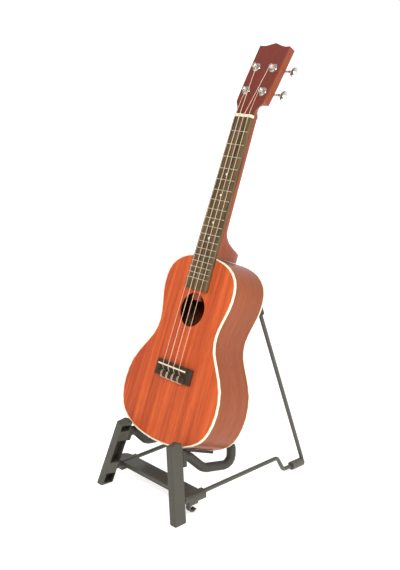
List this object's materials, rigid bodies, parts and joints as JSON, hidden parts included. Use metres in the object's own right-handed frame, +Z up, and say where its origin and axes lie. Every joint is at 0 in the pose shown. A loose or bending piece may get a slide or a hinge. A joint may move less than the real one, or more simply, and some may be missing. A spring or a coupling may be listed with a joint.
{
  "type": "ukulele on stand",
  "caption": "Small four-string instrument leaning on a folding stand with two channel legs, hooked arms, floor wires and two padded back uprights.",
  "frame": {"origin": "centre of the bounding box in X and Y, on the floor plane z = 0 under the leg soles and rear foot sleeves", "axes": "+Z up, +X towards the viewer-right side of the soundboard when facing it, -Y the way the soundboard and leg fronts face"},
  "size_m": [0.206, 0.2947, 0.6565],
  "materials": {
    "mahogany_top": "gloss varnish",
    "mahogany_side": "gloss varnish",
    "mahogany_neck": "satin varnish",
    "rosewood": "oiled",
    "veneer": "gloss varnish",
    "spruce_block": "bare",
    "cream_binding": "gloss",
    "bone": "polished",
    "nylon": "smooth",
    "chrome": "polished plate",
    "moulded_black": "fine spark-eroded grain",
    "rubber_black": "matt",
    "wire_black": "semi-gloss powder coat",
    "steel_pin": "turned"
  },
  "bodies": {
    "stand": {"crossbar": "moulded_black", "leg_pin_left": "steel_pin", "floor_wire_left": "wire_black", "leg_pin_right": "steel_pin", "floor_wire_right": "wire_black"},
    "leg_l": {"leg_left": "moulded_black", "arm_left": "rubber_black", "rest_left": "rubber_black"},
    "leg_r": {"leg_right": "moulded_black", "arm_right": "rubber_black", "rest_right": "rubber_black"},
    "back_l": {"upright_left": "wire_black", "back_pad_left": "rubber_black", "foot_sleeve_left": "rubber_black"},
    "back_r": {"upright_right": "wire_black", "back_pad_right": "rubber_black", "foot_sleeve_right": "rubber_black"},
    "ukulele": {"soundboard": "mahogany_top", "sides": "mahogany_side", "back": "mahogany_side", "top_binding": "cream_binding", "back_binding": "cream_binding", "top_lining": "spruce_block", "back_lining": "spruce_block", "neck_block": "spruce_block", "tail_block": "spruce_block", "neck": "mahogany_neck", "headstock_veneer": "veneer", "fretboard": "rosewood", "nut": "bone", "bridge": "rosewood", "saddle": "bone", "string_1": "nylon", "tuner_plate_1": "chrome", "tuner_bushing_1": "chrome", "string_2": "nylon", "tuner_plate_2": "chrome", "tuner_bushing_2": "chrome", "string_3": "nylon", "tuner_plate_3": "chrome", "tuner_bushing_3": "chrome", "string_4": "nylon", "tuner_plate_4": "chrome", "tuner_bushing_4": "chrome"},
    "button_1": {"tuner_button_1": "chrome"},
    "post_1": {"tuner_post_1": "chrome"},
    "button_2": {"tuner_button_2": "chrome"},
    "post_2": {"tuner_post_2": "chrome"},
    "button_3": {"tuner_button_3": "chrome"},
    "post_3": {"tuner_post_3": "chrome"},
    "button_4": {"tuner_button_4": "chrome"},
    "post_4": {"tuner_post_4": "chrome"}
  },
  "joints": [
    {"name": "leg_l_fold", "type": "hinge", "parent": "stand", "child": "leg_l", "pos_m": [-0.07803, -0.13127, 0.03], "axis": [0, 0.9841, -0.1777], "range_deg": [0, 48]},
    {"name": "leg_r_fold", "type": "hinge", "parent": "stand", "child": "leg_r", "pos_m": [0.07803, -0.13127, 0.03], "axis": [0, -0.9841, 0.1777], "range_deg": [0, 48]},
    {"name": "back_l_fold", "type": "hinge", "parent": "stand", "child": "back_l", "pos_m": [-0.0775, 0.13583, 0.0066], "axis": [0, 1, 0], "range_deg": [0, 68]},
    {"name": "back_r_fold", "type": "hinge", "parent": "stand", "child": "back_r", "pos_m": [0.0775, 0.13583, 0.0066], "axis": [0, -1, 0], "range_deg": [0, 75]},
    {"name": "lift_off", "type": "slide", "parent": "stand", "child": "ukulele", "axis": [0, 0.3616, 0.9323], "range_m": [0, 0.2]},
    {"name": "button_1_turn", "type": "hinge", "parent": "ukulele", "child": "button_1", "pos_m": [-0.0407, 0.11111, 0.58287], "axis": [-1, 0, 0], "continuous": true},
    {"name": "post_1_turn", "type": "hinge", "parent": "ukulele", "child": "post_1", "pos_m": [-0.017, 0.09222, 0.5885], "axis": [0, 0.8377, -0.5461], "continuous": true},
    {"name": "button_2_turn", "type": "hinge", "parent": "ukulele", "child": "button_2", "pos_m": [-0.0407, 0.13257, 0.61579], "axis": [-1, 0, 0], "continuous": true},
    {"name": "post_2_turn", "type": "hinge", "parent": "ukulele", "child": "post_2", "pos_m": [-0.017, 0.11368, 0.62142], "axis": [0, 0.8377, -0.5461], "continuous": true},
    {"name": "button_3_turn", "type": "hinge", "parent": "ukulele", "child": "button_3", "pos_m": [0.0407, 0.13257, 0.61579], "axis": [1, 0, 0], "continuous": true},
    {"name": "post_3_turn", "type": "hinge", "parent": "ukulele", "child": "post_3", "pos_m": [0.017, 0.11368, 0.62142], "axis": [0, 0.8377, -0.5461], "continuous": true},
    {"name": "button_4_turn", "type": "hinge", "parent": "ukulele", "child": "button_4", "pos_m": [0.0407, 0.11111, 0.58287], "axis": [1, 0, 0], "continuous": true},
    {"name": "post_4_turn", "type": "hinge", "parent": "ukulele", "child": "post_4", "pos_m": [0.017, 0.09222, 0.5885], "axis": [0, 0.8377, -0.5461], "continuous": true}
  ],
  "couplings": [
    {"joint": "post_1_turn", "follows": "button_1_turn", "ratio": 0.071429},
    {"joint": "post_2_turn", "follows": "button_2_turn", "ratio": 0.071429},
    {"joint": "post_3_turn", "follows": "button_3_turn", "ratio": 0.071429},
    {"joint": "post_4_turn", "follows": "button_4_turn", "ratio": 0.071429}
  ]
}
